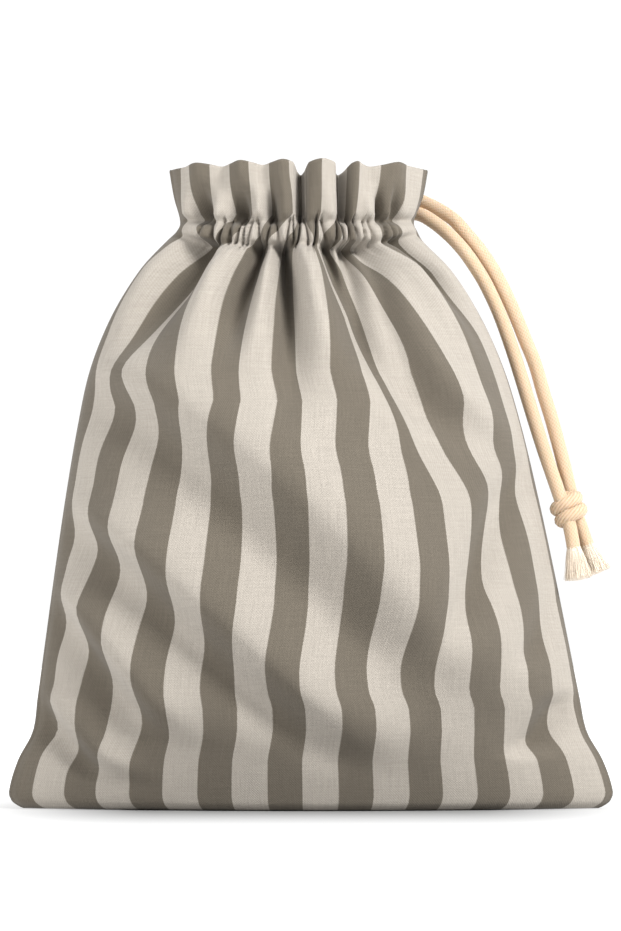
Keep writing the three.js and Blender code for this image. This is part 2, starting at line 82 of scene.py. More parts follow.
def level_slopes(at, values):
    """Slope at each place of a table, none at a crest or a hollow."""
    rise = np.diff(values) / np.diff(at)
    slopes = np.zeros(len(at))
    goes_on = rise[:-1] * rise[1:] > 0
    slopes[1:-1][goes_on] = 2 / (1 / rise[:-1][goes_on] + 1 / rise[1:][goes_on])
    return slopes


def smooth_line(where, at, values, slopes):
    """Smooth line through the places of a table, with the given slope at each."""
    i = np.clip(np.searchsorted(at, where) - 1, 0, len(at) - 2)
    span, rise = at[i + 1] - at[i], values[i + 1] - values[i]
    t = np.clip((where - at[i]) / span, 0, 1)
    start, end = slopes[i] * span, slopes[i + 1] * span
    return values[i] + t * start + t * t * (3 * rise - 2 * start - end) + t ** 3 * (start + end - 2 * rise)


def section(z, column):
    at, values = np.array(SECTIONS["z"], float), np.array(SECTIONS[column], float)
    return smooth_line(z, at, values, even_slopes(at, values))


def fold_table(columns, rows):
    return np.array(rows, dtype=[(column, float) for column in columns])


def bump(distance, left, right):
    """A rounded ridge, 1 on its line, with a width of its own to each side."""
    return np.exp(-((distance / np.where(distance < 0, left, right)) ** 2))


def passed(distance, width):
    """Share of a pleat that lies behind a place, from 0 before its line to 1 after it."""
    return (1 + np.tanh(distance / width)) / 2


def down_fold(z, top, end):
    """How far down a fold a height lies, from 0 at its upper end to 1 at its lower one."""
    return np.clip((top - z) / (top - end), 0, 1)


def fold_line(fold, t):
    """Where a fold runs, bowed aside in its middle."""
    return fold["x"] + (fold["x_end"] - fold["x"]) * t + fold["bow"] * 4 * t * (1 - t)


# Ruffles of the heading, along the top edge and just above the channel: place, how far out, cloth
# swallowed there. The lower row turns into the upper one on the way up, and what stands out also rises.
TOP_RUFFLES = fold_table(("x", "out", "cloth"), [
    (-60, 0, 0), (-52, 0.8, 7), (-45.4, 3.6, 0), (-40.6, 1.6, 3.5), (-36.6, -0.6, 0), (-32.4, 1.4, 3.5),
    (-27.8, 3.8, 0), (-23.4, 1.6, 3.5), (-19.8, -0.6, 0), (-16, 1.4, 3.5), (-11.2, 3.8, 0), (-7.4, 1.4, 0),
    (-5.6, -6.5, 16), (-4.2, -9, 0), (-2.8, -6.5, 16), (-0.9, 1.4, 0), (4.2, 4.4, 2), (9.4, 1.4, 0),
    (11.4, -6, 12), (13, -8.5, 0), (14.6, -6, 12), (16.2, 1.4, 0), (18, 3, 6), (21, 0.6, 0),
    (24.3, -0.8, 0), (28.6, 1, 0), (33.8, 4, 0), (39.6, 1.4, 0), (50, 0, 0),
])
LOW_RUFFLES = fold_table(("x", "out", "cloth"), [
    (-57, 0, 0), (-50.5, 3, 7), (-46.8, -4, 0), (-43.6, -9, 3), (-41, -3, 0), (-37, 4.4, 0), (-33.4, 0, 0),
    (-30.6, -7, 3), (-28, -9.5, 0), (-25.2, -3, 0), (-21, 4.4, 0), (-18.4, -1, 3), (-15.8, -8.5, 0),
    (-13.4, -1, 0), (-10.5, 3, 0), (-7.4, 1, 0), (-5.4, -8, 15), (-4.2, -10.5, 0), (-3, -8, 15),
    (-0.8, 1.6, 0), (3, 3, 3), (7.6, 4.8, 0), (10.2, 1, 0), (11.8, -8, 11), (13.1, -10.5, 0),
    (14.4, -8, 11), (16.6, 1.2, 6), (19.4, 2, 0), (22.8, 4.8, 0), (25.8, 0, 0), (27.7, -7.5, 0),
    (29.6, 0, 0), (31.2, 1.6, 0), (33, -3.6, 0), (36.4, 3, 0), (41, 2, 0), (46, 0, 0),
])
RUFFLE_START, RUFFLE_TURN = (CHANNEL_HIGH - 3, CHANNEL_HIGH + 4), (CHANNEL_HIGH + 2, 267.0)
RUFFLE_TUCK = (CHANNEL_HIGH - 8, CHANNEL_HIGH)
RUFFLE_RISE, RISE_FROM = 0.42, CHANNEL_HIGH + 6


def ruffle_relief(x, z):
    low, top = (smooth_line(x, row["x"], row["out"], level_slopes(row["x"], row["out"]))
                for row in (LOW_RUFFLES, TOP_RUFFLES))
    return ramp(z, *RUFFLE_START) * (low + (top - low) * ramp(z, *RUFFLE_TURN))


# Gathers that fall from the channel: place there, place and height where the fold ends, bow, width to each
# side, how far out. They widen on the way down, and those that stand out swell below the channel.
GATHERS = fold_table(("x", "x_end", "z_end", "bow", "left", "right", "out"), [
    (-55, -92, 178, -3, 5, 5, 5), (-43, -81, 180, 1, 7, 4.6, -17), (-32.5, -56, 168, -1, 4.4, 5.6, 9),
    (-20.6, -36, 182, -0.5, 3.8, 3.6, -15), (-16, -27, 174, 0.5, 3.2, 3.2, 7),
    (-12.4, -8, 152, 1.2, 3.6, 4.6, -18), (-4, 9, 168, 3, 5, 5, 9), (6.2, 16, 203, 0, 2.4, 2.4, -11),
    (10.6, 21, 194, 0, 2.6, 2.6, 6), (14, 28.5, 174, 0, 4.4, 5.2, -18), (18.6, 31, 202, 0, 2.2, 2.2, 4.5),
    (21.5, 56, 148, -2, 3.6, 4, -12), (29.4, 74, 165, 3, 4.4, 4, 9), (33, 75, 194, 0.5, 3.2, 3.4, -9),
    (41, 80, 180, 4, 3, 4, 4.6),
])
GATHER_STOP = (CHANNEL_LOW - 3, CHANNEL_LOW + 2)
GATHER_WIDEN, GATHER_FADE = 1.1, 1.5
SWELL_START, SWELL_GAIN, SWELL_LENGTH = 0.5, 0.65, 13


def gather_relief(x, z):
    relief = np.zeros_like(x)
    for fold in GATHERS:
        t = down_fold(z, CHANNEL_LOW, fold["z_end"])
        widen = 1 + GATHER_WIDEN * t
        ridge = bump(x - fold_line(fold, t), fold["left"] * widen, fold["right"] * widen)
        swell = 1
        if fold["out"] > 0:
            swell = SWELL_START + SWELL_GAIN * ramp(CHANNEL_LOW - z, 0, SWELL_LENGTH)
        relief += fold["out"] * swell * (1 - t * t) ** GATHER_FADE * ridge
    return (1 - ramp(z, *GATHER_STOP)) * relief


# Creases of the filled belly: upper end, lower end, bow, width to each side, how far out, cloth swallowed.
# A crease rises and falls over these shares of its length, and stops short of the bottom fold.
CREASES = fold_table(("x", "z", "x_end", "z_end", "bow", "left", "right", "out", "cloth"), [
    (-124, 198, 48, 30, 15, 22, 19, -7.5, 0), (-86, 198, 86, 30, 15, 19, 30, 7.5, 0),
    (-124, 138, 14, 12, 0, 13, 12, -6, 0), (-100, 138, 38, 12, 0, 12, 20, 6, 0),
    (-121, 100, -63, 24, 0, 9, 8, -5.5, 0), (-105, 100, -47, 24, 0, 8, 12, 5, 0),
    (-125, 54, -87, 10, 0, 8, 7, -5, 0), (-111, 54, -73, 10, 0, 7, 11, 4, 0),
    (0, 240, 62, 146, -11, 9, 9, -6, 0), (22, 240, 84, 146, -11, 9, 11, 7, 0),
    (92, 152, 50, 58, 0, 10, 10, -6.5, 12), (109, 50, 86, 20, 0, 9, 10, -6.5, 4),
    (106, 96, 84, 56, 0, 8, 9, -3, 2),
])
CREASE_RISE, CREASE_FALL, CREASE_FOOT = (0, 0.25), (0.72, 1), (2, 14)


def crease_relief(x, z):
    relief = np.zeros_like(x)
    for crease in CREASES:
        t = down_fold(z, crease["z"], crease["z_end"])
        fade = ramp(t, *CREASE_RISE) * (1 - ramp(t, *CREASE_FALL))
        relief += crease["out"] * fade * bump(x - fold_line(crease, t), crease["left"], crease["right"])
    return relief * ramp(z, *CREASE_FOOT)


# Pleats: where cloth is swallowed between the gathers, and how much at the channel. The widths are those
# over which a pleat, a ruffle or a crease takes up its cloth.
PLEATS = fold_table(("x", "x_end", "z_end", "bow", "cloth"), [
    (-40, -90, 168, 1.5, 24), (-20.6, -34, 140, -1, 7), (-12, -6, 130, 1.2, 7), (1.6, 49, 130, -0.8, 30),
    (15, 44, 180, 1, 13),
])
PLEAT_STOP = (CHANNEL_LOW, CHANNEL_LOW + 8)
PLEAT_WIDTH, PLEAT_WIDEN, CREASE_WIDTH = 1.2, 2, 5
CREASE_TUCK_RISE, CREASE_TUCK_FALL = (-0.05, 0.3), (0.5, 1.05)


def tucked(x, z):
    """Cloth swallowed by the pleats up to a place, beyond what their modelled depth takes."""
    total = np.zeros_like(x)
    for pleat in PLEATS:
        t = down_fold(z, CHANNEL_LOW, pleat["z_end"])
        held = (1 - t ** 2) * (1 - ramp(z, *PLEAT_STOP))
        total += pleat["cloth"] * held * passed(x - fold_line(pleat, t), PLEAT_WIDTH + PLEAT_WIDEN * t)
    held, upper = ramp(z, *RUFFLE_TUCK), ramp(z, *RUFFLE_TURN)
    for ruffles, share in ((LOW_RUFFLES, 1 - upper), (TOP_RUFFLES, upper)):
        for ruffle in ruffles:
            total += ruffle["cloth"] * share * held * passed(x - ruffle["x"], PLEAT_WIDTH)
    for crease in CREASES:
        t = down_fold(z, crease["z"], crease["z_end"])
        held = ramp(t, *CREASE_TUCK_RISE) * (1 - ramp(t, *CREASE_TUCK_FALL))
        total += crease["cloth"] * held * passed(x - fold_line(crease, t), CREASE_WIDTH)
    return total


# Drawstring channel: a tube of turned-over cloth between two lines of stitches, puckered where the cord
# draws it together. The puckers drift along it, lean between the stitches and end before the seams.
CHANNEL_BULGE = 2.2
STITCH_LINES, STITCH_PINCH, STITCH_WIDTH = (CHANNEL_LOW - 0.4, CHANNEL_HIGH + 0.4), 2.2, 2
PUCKERS, PUCKER_SPAN, PUCKER_HEIGHT = 25, 0.84, 2.3
PUCKER_DRIFT = ((0.3, 14, 0), (0.16, 31, 1))
PUCKER_LEAN, LEAN_LIMIT = 0.2, 1.2
PUCKER_ROUND, PUCKER_SINK = 0.7, 1.2
PUCKER_START, PUCKER_STOP = (CHANNEL_LOW - 7, CHANNEL_LOW), (CHANNEL_HIGH, CHANNEL_HIGH + 5)
PUCKER_SIDE = (PUCKER_SPAN - 0.1, PUCKER_SPAN + 0.04)


def channel_relief(s, z):
    across = (z - CHANNEL_LOW) / (CHANNEL_HIGH - CHANNEL_LOW)
    count = PUCKERS * (s + PUCKER_SPAN) / (2 * PUCKER_SPAN)
    for share, often, start in PUCKER_DRIFT:
        count = count + share * np.sin(often * s + start)
    lean = np.clip(2 * across - 1, -LEAN_LIMIT, LEAN_LIMIT)
    count = count + PUCKER_LEAN * lean * np.cos(np.pi * count)
    inside = ramp(z, *PUCKER_START) * (1 - ramp(z, *PUCKER_STOP))
    along = 1 - ramp(np.abs(s), *PUCKER_SIDE)
    tube = CHANNEL_BULGE * np.sin(np.pi * np.clip(across, 0, 1))
    pinch = sum(np.exp(-((z - line) / STITCH_WIDTH) ** 2) for line in STITCH_LINES)
    pucker = PUCKER_HEIGHT * along * (2 * np.abs(np.sin(np.pi * count)) ** PUCKER_ROUND - PUCKER_SINK)
    return tube - STITCH_PINCH * pinch + inside * pucker


# The two panels as sheets. The cloth is measured along rows with only RUN_SHARE of their folds, because
# the pleats account for the rest, and the rows over the channel lie between those on both sides of it.
BOW_STEP, RISE_POWER = 0.04, 4
RUN_SHARE, RUN_LOW, RUN_HIGH = 0.2, CHANNEL_LOW - 2, CHANNEL_HIGH + 3
ROW_BANDS = ((BASE_FOLD, 7), (30, 16), (200, 57), (235, 27), (249, 25), (HEM, 15), (TOP, 3))


def cloth_point(angle, z, side, depth_in, fold_share=1.0):
    """Outer face of a panel, taken depth_in into the cloth; side is -1 in front and 1 at the back."""
    s = np.sin(angle)
    left, right = section(z, "left"), section(z, "right")
    middle, half = (left + right) / 2, (right - left) / 2
    deep, curl = section(z, "depth"), section(z, "curl")

    def bare(turn):
        c = np.sin(turn)
        return middle + c * half, deep * np.maximum(1 - c * c, 0) ** curl

    x, y = bare(angle)
    xa, ya = bare(np.maximum(angle - BOW_STEP, -np.pi / 2))
    xb, yb = bare(np.minimum(angle + BOW_STEP, np.pi / 2))
    length = np.hypot(xb - xa, yb - ya)
    nx, ny = (ya - yb) / length, (xb - xa) / length
    folds = s if side < 0 else -s
    across = middle + folds * half
    fade = 1 - np.abs(s) ** SEAM_FADE
    body = fold_share * (gather_relief(across, z) + ruffle_relief(across, z))
    channel = 0
    if fold_share == 1:
        body = body + crease_relief(across, z)
        channel = channel_relief(folds, z)
    out = fade * (1 if side < 0 else BACK_RELIEF) * body
    lift = RUFFLE_RISE * out * ramp(z, RISE_FROM, TOP)
    offset = out + channel * fade + SHEET - depth_in
    middle_rise, seam_rise = section(z, "middle_rise"), section(z, "seam_rise")
    rise = middle_rise + (seam_rise - middle_rise) * s ** RISE_POWER
    from_seam = np.hypot(half * (1 - np.abs(s)), y)
    apart = 1 - np.exp(-((from_seam / SEAM_PINCH) ** 2))
    y = SEAM_GAP / 2 + apart * np.maximum(0, y + ny * offset)
    return x + nx * offset, side * y, z + rise + lift


def cloth_run(angle, z, side):
    """Share of the cut's width from the left seam to each place of a row, with what the pleats swallow."""
    folds = np.sin(angle) if side < 0 else -np.sin(angle)

    def measured(height):
        x, y, _ = cloth_point(angle, height, side, 0, fold_share=RUN_SHARE)
        left, right = section(height, "left"), section(height, "right")
        across = (left + right) / 2 + folds * (right - left) / 2
        steps = np.hypot(np.diff(x, axis=1), np.diff(y, axis=1))
        steps = steps - side * np.diff(tucked(across, height), axis=1)
        run = np.concatenate([np.zeros((len(height), 1)), np.cumsum(steps, axis=1)], axis=1)
        return run / run[:, -1:]

    up = np.clip((z - RUN_LOW) / (RUN_HIGH - RUN_LOW), 0, 1)
    over = (1 - up) * measured(np.full_like(z, RUN_LOW)) + up * measured(np.full_like(z, RUN_HIGH))
    return np.where((z > RUN_LOW) & (z < RUN_HIGH), over, measured(z))


def panel_rows():
    """Heights of a panel's rows, closer together at the folds of the bottom, the channel and the hem."""
    rows, low = [], 0.0
    for high, count in ROW_BANDS:
        rows.append(np.linspace(low, high, count, endpoint=False))
        low = high
    return np.append(np.concatenate(rows), TOP)


def add_piece(name, points, faces, material):
    """A smooth mesh from points in mm, set into the scene as a piece of its own."""
    mesh = bpy.data.meshes.new(name)
    mesh.from_pydata((points * MM).tolist(), [], faces)
    mesh.polygons.foreach_set("use_smooth", np.ones(len(mesh.polygons), bool))
    mesh.materials.append(material)
    piece = bpy.data.objects.new(name, mesh)
    bpy.context.collection.objects.link(piece)
    return piece


def make_panel(name, side, material, columns=284, floor_rows=6, samples=1600):
    heights = panel_rows()[:, None]
    fine = np.linspace(-np.pi / 2, np.pi / 2, samples)[None, :]
    share = np.linspace(0, 1, columns + 1)
    angle = np.array([np.interp(share, row, fine[0]) for row in cloth_run(fine, heights, side)])
    under = np.clip(1 - heights / BASE_FOLD, 0, 1)
    over = np.clip((heights - HEM) / (TOP - HEM), 0, 1)
    inward = np.linspace(1, 0, floor_rows, endpoint=False)[:, None]
    seam = side * SEAM_GAP / 2
    skins = []
    for depth_in, hem_turn in zip((0.0, CLOTH), HEM_TURNS):
        turn = BASE_TURN * (1 - np.sqrt(1 - under ** 2)) + hem_turn * over ** 2
        x, y, z = cloth_point(angle, heights, side, depth_in + turn)
        wall = np.stack([x, y, np.maximum(z, depth_in)], axis=2)
        floor = np.repeat(wall[:1], floor_rows, axis=0)
        floor[:, :, 1] = seam + (floor[:, :, 1] - seam) * (1 - inward)
        skins.append(np.concatenate([floor, wall]))
    rows, width = skins[0].shape[:2]
    count = rows * width
    grid = np.arange(count).reshape(rows, width)
    outer = np.stack([grid[:-1, :-1], grid[:-1, 1:], grid[1:, 1:], grid[1:, :-1]], axis=2).reshape(-1, 4)
    inner = outer[:, ::-1] + count
    rims = []
    for line in (grid[0, ::-1], grid[:, 0], grid[-1, :], grid[::-1, -1]):
        rims.append(np.stack([line[:-1], line[1:], line[1:] + count, line[:-1] + count], axis=1))
    faces = np.concatenate([outer, inner, *rims])
    if side > 0:
        faces = faces[:, ::-1]
    points = np.concatenate([skin.reshape(-1, 3) for skin in skins])
    panel = add_piece(name, points, faces.tolist(), material)
    # Places on the flat cut, which the stripes and the weave follow.
    steps = np.linalg.norm(np.diff(skins[0], axis=0), axis=2)
    up_cut = np.concatenate([np.zeros((1, width)), np.cumsum(steps, axis=0)]).mean(axis=1)
    across_cut = (share - 0.5) * CUT_WIDTH
    cut = np.stack(np.broadcast_arrays(across_cut[None, :], up_cut[:, None]), axis=2).reshape(-1, 2)
    cut = np.concatenate([cut, cut]) * MM
    corner = np.empty(len(panel.data.loops), np.int32)
    panel.data.loops.foreach_get("vertex_index", corner)
    panel.data.uv_layers.new(name="cut").data.foreach_set("uv", cut[corner].astype(np.float32).ravel())
    return panel


# Striped cotton. Broad light and dark stripes run up the cut on the cloth's own width, so the folds narrow
# and hide them. The weave is plain, with slubs in both directions, and the cloth is matt.
LIGHT_STRIPE, DARK_STRIPE = (0.36, 0.327, 0.285), (0.124, 0.106, 0.082)
STRIPE_START, STRIPE_PITCH, LIGHT_SHARE = -117.8, 28.54, 0.5116
THREAD = 0.52
# Slubs, flecks and the uneven edge of a stripe: how many there are to the mm, how deep the edge is cut and
# how sharp it is. Then how much each of them changes the tone, and how high slubs and weave stand.
SLUB_SHORT, SLUB_LONG, FLECK = 1.7, 0.07, 1.1
JAG_ACROSS, JAG_ALONG, JAG_DEEP, EDGE_SHARP = 0.3, 2.0, 0.25, 60.0
WARP_TONE, WEFT_TONE, FLECK_TONE, WEAVE_TONE = 0.26, 0.2, 0.16, 0.1
SLUB_HEIGHT, WEAVE_HEIGHT = 0.35, 0.5


def new_material(name):
    made = bpy.data.materials.new(name)
    made.use_nodes = True
    made.node_tree.nodes.clear()
    return made


def node(kind, **settings):
    made = tree.nodes.new(kind)
    for name, value in settings.items():
        setattr(made, name, value)
    return made


def math_node(operation, first, second=None, third=None):
    made = node("ShaderNodeMath", operation=operation)
    for i, value in enumerate((first, second, third)):
        if isinstance(value, (int, float)):
            made.inputs[i].default_value = value
        elif value is not None:
            tree.links.new(value, made.inputs[i])
    return made.outputs[0]


def two_colours(share, first, second):
    made = node("ShaderNodeMix", data_type="RGBA")
    made.inputs["A"].default_value = (*first, 1)
    made.inputs["B"].default_value = (*second, 1)
    tree.links.new(share, made.inputs["Factor"])
    return made.outputs["Result"]


def toned(colour, tone):
    made = node("ShaderNodeVectorMath", operation="SCALE")
    if isinstance(colour, tuple):
        made.inputs[0].default_value = colour
    else:
        tree.links.new(colour, made.inputs[0])
    tree.links.new(tone, made.inputs["Scale"])
    return made.outputs[0]


def raised(height, strength, distance):
    made = node("ShaderNodeBump")
    made.inputs["Strength"].default_value = strength
    made.inputs["Distance"].default_value = distance
    tree.links.new(height, made.inputs["Height"])
    return made.outputs[0]


def matt_cotton(colour, roughness, sheen):
    """A dull cotton surface, finished off as the material's output."""
    made = node("ShaderNodeBsdfPrincipled")
    made.inputs["Roughness"].default_value = roughness
    made.inputs["Specular IOR Level"].default_value = 0.15
    made.inputs["Sheen Weight"].default_value = sheen
    tree.links.new(colour, made.inputs["Base Color"])
    output = node("ShaderNodeOutputMaterial")
    tree.links.new(made.outputs[0], output.inputs["Surface"])
    return made


cotton = new_material("striped cotton")
tree = cotton.node_tree
uv = node("ShaderNodeUVMap", uv_map="cut")
split = node("ShaderNodeSeparateXYZ")
tree.links.new(uv.outputs[0], split.inputs[0])
across = math_node("MULTIPLY", split.outputs[0], 1 / MM)
along = math_node("MULTIPLY", split.outputs[1], 1 / MM)


def streaks(scale_across, scale_along, detail=2.0):
    place = node("ShaderNodeCombineXYZ")
    tree.links.new(math_node("MULTIPLY", across, scale_across), place.inputs[0])
    tree.links.new(math_node("MULTIPLY", along, scale_along), place.inputs[1])
    noise = node("ShaderNodeTexNoise", noise_dimensions="2D")
    noise.inputs["Scale"].default_value = 1.0
    noise.inputs["Detail"].default_value = detail
    tree.links.new(place.outputs[0], noise.inputs["Vector"])
    return math_node("SUBTRACT", noise.outputs[0], 0.5)


warp_slub = streaks(SLUB_SHORT, SLUB_LONG)
weft_slub = streaks(SLUB_LONG, SLUB_SHORT)
fleck = streaks(FLECK, FLECK, 1.0)
edge_jag = streaks(JAG_ACROSS, JAG_ALONG, 1.0)
place = math_node("ADD", across, math_node("MULTIPLY", edge_jag, JAG_DEEP))
pitches = math_node("MULTIPLY", math_node("SUBTRACT", place, STRIPE_START), 1 / STRIPE_PITCH)
phase = math_node("FRACT", pitches)
from_edge = math_node("MINIMUM", phase, math_node("SUBTRACT", LIGHT_SHARE, phase))
dark = math_node("MULTIPLY_ADD", from_edge, -EDGE_SHARP, 0.5)
dark = math_node("MINIMUM", math_node("MAXIMUM", dark, 0.0), 1.0)
warp_wave = math_node("SINE", math_node("MULTIPLY", across, math.pi / THREAD))
weft_wave = math_node("SINE", math_node("MULTIPLY", along, math.pi / THREAD))
weave = math_node("MULTIPLY", warp_wave, weft_wave)
tone = math_node("MULTIPLY_ADD", warp_slub, WARP_TONE, 1.0)
tone = math_node("MULTIPLY_ADD", weft_slub, WEFT_TONE, tone)
tone = math_node("MULTIPLY_ADD", fleck, FLECK_TONE, tone)
tone = math_node("MULTIPLY_ADD", weave, WEAVE_TONE, tone)
slubs = math_node("ADD", warp_slub, weft_slub)
height = math_node("MULTIPLY_ADD", slubs, SLUB_HEIGHT, math_node("MULTIPLY", weave, WEAVE_HEIGHT))
colour = toned(two_colours(dark, LIGHT_STRIPE, DARK_STRIPE), tone)
surface = matt_cotton(colour, roughness=0.92, sheen=0.12)
surface.inputs["Sheen Roughness"].default_value = 0.6
tree.links.new(raised(height, strength=0.5, distance=0.00012), surface.inputs["Normal"])

front_panel = make_panel("front_cloth", -1, cotton)
back_panel = make_panel("back_cloth", 1, cotton)
for panel, cad_node in ((front_panel, "front_panel"), (back_panel, "back_panel")):
    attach(panel, "root")
    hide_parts(cad_node)


# Drawstring of undyed cotton, twisted from twelve yarns that show as slanting ribs. Both strands leave the
# back of the channel, pass behind the heading and hang on the right side to the knot.
CORD = 6.0
YARNS, LAY_LENGTH, RIB, RIB_ROUND = 12, 24.0, 0.42, 0.8
INNER_ROUTE = [
    (26, 22.2, 243.4), (27, 27.6, 244.6), (31, 31, 249), (38, 28, 252.6), (45.6, 21.5, 252.2),
    (51.5, 17, 248.7), (58.4, 13.2, 242.6), (64.2, 10.6, 236.1), (68.6, 9, 229.8), (73.5, 7.4, 221.6),
    (79.2, 5.6, 209.2), (84.4, 4, 194.6), (88.7, 2.6, 180.7), (93.3, 1.2, 165.2), (97.6, -0.4, 151.1),
    (100.7, -1.6, 141.7), (104.3, -2.5, 131), (105.4, -2.3, 127.4),
]
OUTER_ROUTE = [
    (18, 24.3, 243.4), (19.4, 29.6, 245.2), (24.5, 34, 252.4), (32.5, 33.4, 258.4), (40, 30, 259.8),
    (47.5, 26, 258), (59.9, 18.9, 250.2), (66, 15.6, 243.2), (71.5, 13.2, 236.2), (76.9, 11.2, 227.9),
    (81.8, 9.4, 218.3), (86, 7.8, 208.8), (90.6, 6.2, 197), (94.6, 4.8, 186.7), (98, 3.8, 174.6),
    (101.3, 3, 163.7), (104.7, 2.5, 151), (107, 2.4, 141.8), (109.1, 2.6, 132.3), (109.6, 2.4, 127.6),
]


def steps_along(path):
    return np.linalg.norm(np.diff(path, axis=0), axis=1)


def smooth_path(route, spacing=0.8):
    knots = np.array(route, float)
    at = np.concatenate([[0], np.cumsum(steps_along(knots))])
    where = np.linspace(0, at[-1], max(4, int(at[-1] / spacing)))
    return np.stack([smooth_line(where, at, line, even_slopes(at, line)) for line in knots.T], axis=1)


def tube_faces(rows, sides):
    """Faces of a tube of rings, closed to the two points that follow the rings."""
    grid = np.arange(rows * sides).reshape(rows, sides)
    after = np.roll(grid, -1, axis=1)
    faces = np.stack([grid[:-1], after[:-1], after[1:], grid[1:]], axis=2).reshape(-1, 4).tolist()
    first, last = rows * sides, rows * sides + 1
    faces += [(first, b, a) for a, b in zip(grid[0].tolist(), after[0].tolist())]
    faces += [(last, a, b) for a, b in zip(grid[-1].tolist(), after[-1].tolist())]
    return faces


def make_rope(name, path, material, radius=CORD / 2, phase=0.0, sides=72):
    run = np.concatenate([[0], np.cumsum(steps_along(path))])
    ahead = np.gradient(path, axis=0)
    ahead /= np.linalg.norm(ahead, axis=1)[:, None]
    # Each ring starts from the one before it, so the cord doesn't twist by itself.
    across = np.cross(ahead[0], (0.0, 0.3, 1.0))
    turn = np.linspace(0, 2 * np.pi, sides, endpoint=False)
    rings, ribs = [], []
    for point, direction, length in zip(path, ahead, run):
        across = across - direction * np.dot(across, direction)
        across = across / np.linalg.norm(across)
        other = np.cross(direction, across)
        lay = turn + 2 * np.pi * length / LAY_LENGTH + phase
        rib = np.abs(np.cos(0.5 * YARNS * lay)) ** RIB_ROUND
        r = radius - RIB + RIB * rib
        rings.append(point + r[:, None] * (np.cos(turn)[:, None] * across + np.sin(turn)[:, None] * other))
        ribs.append(rib)
    points = np.concatenate([*rings, path[:1], path[-1:]])
    rope = add_piece(name, points, tube_faces(len(rings), sides), material)
    rope.data.attributes.new("rib", "FLOAT", "POINT").data.foreach_set(
        "value", np.concatenate([*ribs, [1, 1]]).astype(np.float32))
    return rope


# Fine fibres of the cotton, a faint unevenness in tone and height. The twisted cord and its opened ends
# both have it.
FIBRE_TONE, FIBRE_DARKEST = 0.24, 0.88
fibres = bpy.data.node_groups.new("cotton fibres", "ShaderNodeTree")
fibres.interface.new_socket("Tone", in_out="OUTPUT", socket_type="NodeSocketFloat")
fibres.interface.new_socket("Height", in_out="OUTPUT", socket_type="NodeSocketFloat")
tree = fibres
coords = node("ShaderNodeTexCoord")
fibre = node("ShaderNodeTexNoise")
fibre.inputs["Scale"].default_value = 1400.0
fibre.inputs["Detail"].default_value = 3.0
tree.links.new(coords.outputs["Object"], fibre.inputs["Vector"])
made = node("NodeGroupOutput")
tree.links.new(math_node("MULTIPLY_ADD", fibre.outputs[0], FIBRE_TONE, FIBRE_DARKEST), made.inputs["Tone"])
tree.links.new(fibre.outputs[0], made.inputs["Height"])

# Undyed cotton yarn. Its colour has painted shade: darker and warmer down in the grooves between the yarns,
# where shade falls. Light passes a little way into it.
YARN, GROOVE_SHADE = (0.62, 0.47, 0.33), (0.42, 0.26, 0.145)
GROOVE_GAIN, GROOVE_LIFT, GROOVE_EASE = 1.15, 0.1, 0.1
yarn = new_material("undyed cotton cord")
tree = yarn.node_tree
fibre = node("ShaderNodeGroup", node_tree=fibres)
# Painted shade: low on the ribs, the colour goes over to the darker, warmer groove colour.
rib = node("ShaderNodeAttribute", attribute_name="rib")
lit = math_node("MULTIPLY_ADD", rib.outputs["Fac"], GROOVE_GAIN, GROOVE_LIFT)
lit = math_node("SMOOTH_MIN", lit, 1.0, GROOVE_EASE)
colour = toned(two_colours(lit, GROOVE_SHADE, YARN), fibre.outputs["Tone"])
surface = matt_cotton(colour, roughness=0.9, sheen=0.2)
surface.inputs["Subsurface Weight"].default_value = 0.25
surface.inputs["Subsurface Radius"].default_value = (0.0012, 0.0007, 0.0004)
surface.inputs["Subsurface Scale"].default_value = 1.0
tree.links.new(raised(fibre.outputs["Height"], strength=0.35, distance=0.0002), surface.inputs["Normal"])

inner_path, outer_path = smooth_path(INNER_ROUTE), smooth_path(OUTER_ROUTE)
inner_cord = make_rope("inner_cord", inner_path, yarn)
outer_cord = make_rope("outer_cord", outer_path, yarn, phase=1.0)


# Knot, tied in the cord itself. The two strands run down its middle, and one of them is wound twice round
# both, slanting up to the right in front, with its ends tucked in.
KNOT_LOW, KNOT_STEP = (109.2, 122.8), (-1.9, 4.9)
KNOT_ACROSS, KNOT_DEEP, KNOT_RISE = 4.5, 3.8, 1.15
KNOT_START, KNOT_END, KNOT_MIDDLE, KNOT_POINTS = -0.46, 1.46, 0.5, 150
TUCK_DEEP, TUCK_FROM = 0.6, (0.72, 0.96)
turns = np.linspace(KNOT_START, KNOT_END, KNOT_POINTS)
rising = 2 * np.pi * turns
tuck = 1 - TUCK_DEEP * ramp(np.abs(turns - KNOT_MIDDLE), *TUCK_FROM)
knot_path = np.stack([
    KNOT_LOW[0] + KNOT_STEP[0] * turns + KNOT_ACROSS * tuck * np.sin(rising),
    -KNOT_DEEP * tuck * np.cos(rising),
    KNOT_LOW[1] + KNOT_STEP[1] * turns + KNOT_RISE * np.sin(rising),
], axis=1)
knot = make_rope("knot_turns", knot_path, yarn, phase=0.4)
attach(knot, "root")
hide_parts("cord_knot")


